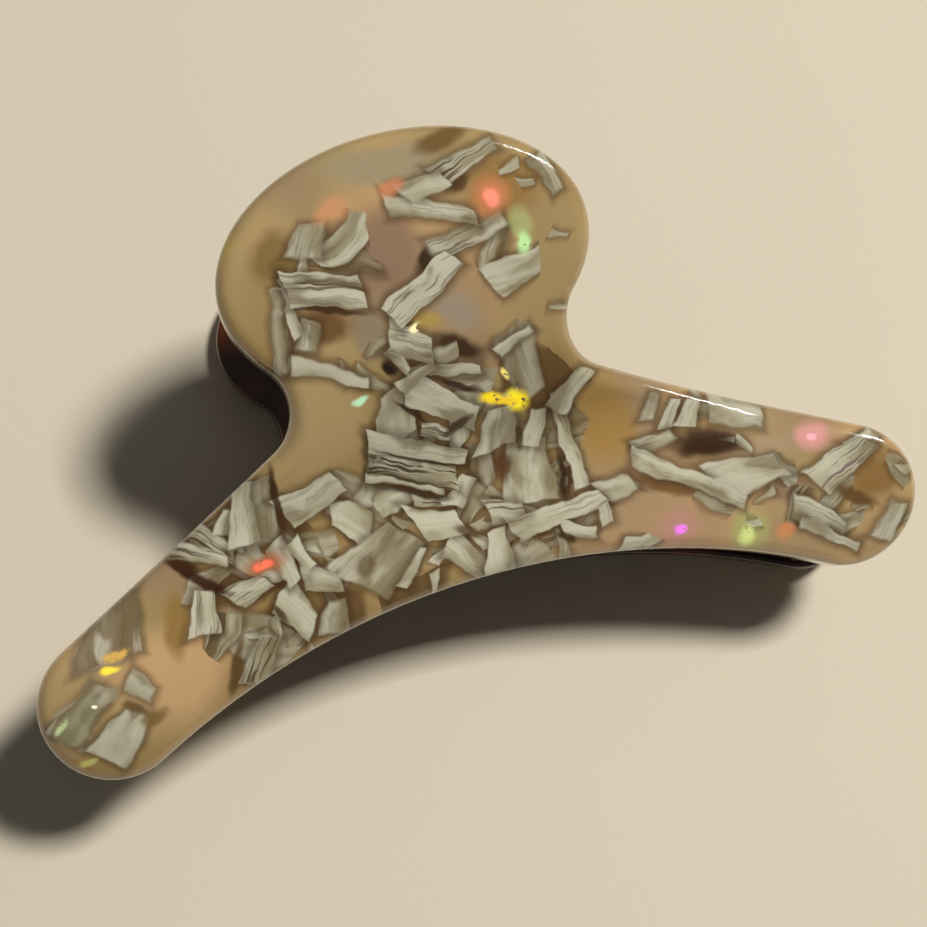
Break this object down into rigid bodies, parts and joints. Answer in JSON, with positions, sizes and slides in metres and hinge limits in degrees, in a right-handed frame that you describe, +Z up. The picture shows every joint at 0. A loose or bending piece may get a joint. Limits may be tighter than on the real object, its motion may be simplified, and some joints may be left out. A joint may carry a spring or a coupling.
{
  "type": "claw clip",
  "caption": "Keyhole-shaped claw clip of laminated acetate: two bent jaws with oval thumb paddles and drooping arms on a spring hinge, with combs inside.",
  "frame": {"origin": "on the table that the closed clip lies on, in the middle of its footprint", "axes": "+X along the hinge pin, +Y from the arms towards the thumb paddles, +Z up from the table; the clip lies on the belly and the paddle of its rear jaw, so its middle plane leans back by 14.7 degrees"},
  "size_m": [0.0914, 0.0596, 0.0473],
  "materials": {
    "shell_acetate": "polished translucent acetate, pale shell flakes in tan",
    "amber_acetate": "polished dark amber tortoise acetate",
    "comb_acetate": "glossy dark amber acetate",
    "stamped_steel": "nickel plated, satin",
    "pin_steel": "bright nickel plated",
    "spring_steel": "drawn wire, slightly darker",
    "screw_steel": "bright nickel plated",
    "bush_plastic": "natural acetal"
  },
  "bodies": {
    "rear_jaw": {"rear_face_plate": "shell_acetate", "rear_liner": "amber_acetate", "rear_comb": "comb_acetate", "rear_hinge_leaf": "stamped_steel", "rear_leaf_screws": "screw_steel", "hinge_pin": "pin_steel", "pin_cap": "pin_steel", "spring_bush": "bush_plastic", "left_washer": "stamped_steel", "right_washer": "stamped_steel", "torsion_spring": "spring_steel"},
    "front_jaw": {"front_face_plate": "shell_acetate", "front_liner": "amber_acetate", "front_comb": "comb_acetate", "front_hinge_leaf": "stamped_steel", "front_leaf_screws": "screw_steel"}
  },
  "joints": [
    {"name": "jaw_hinge", "type": "hinge", "parent": "rear_jaw", "child": "front_jaw", "pos_m": [0, -0.0066, 0.01666], "axis": [-1, 0, 0], "range_deg": [0, 63.5], "stiffness_Nm_per_rad": 0.2, "springref_deg": -57.3, "deforming": ["torsion_spring"]}
  ]
}
